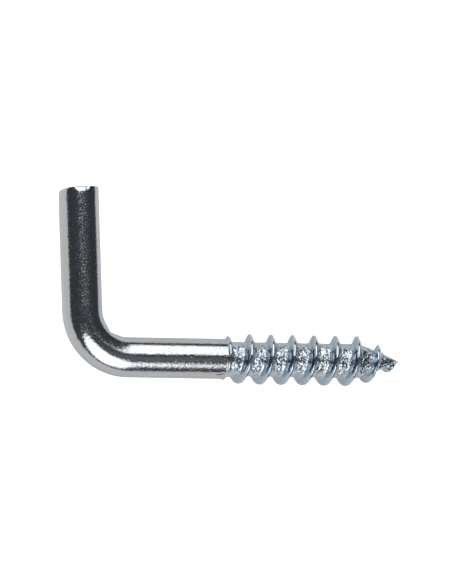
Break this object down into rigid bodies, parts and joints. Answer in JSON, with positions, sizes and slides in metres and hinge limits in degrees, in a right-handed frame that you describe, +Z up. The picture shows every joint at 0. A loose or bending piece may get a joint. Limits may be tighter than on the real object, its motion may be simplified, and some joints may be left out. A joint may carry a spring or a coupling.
{
  "type": "square screw hook",
  "caption": "L-shaped zinc-plated wire hook: a plain straight arm at one end, a wood-screw thread with a gimlet point at the other.",
  "frame": {"origin": "on the axis of the screw, where the thread begins", "axes": "+X along the screw towards its point, +Y to the side of the arm, +Z up with the hook lying flat on its side"},
  "size_m": [0.0423, 0.0233, 0.006],
  "materials": {
    "zinc_plated_steel": "bright zinc plating over drawn wire, smooth on the shank and finely pebbled"
  },
  "bodies": {
    "root": {"screw_hook": "zinc_plated_steel"}
  },
  "joints": []
}
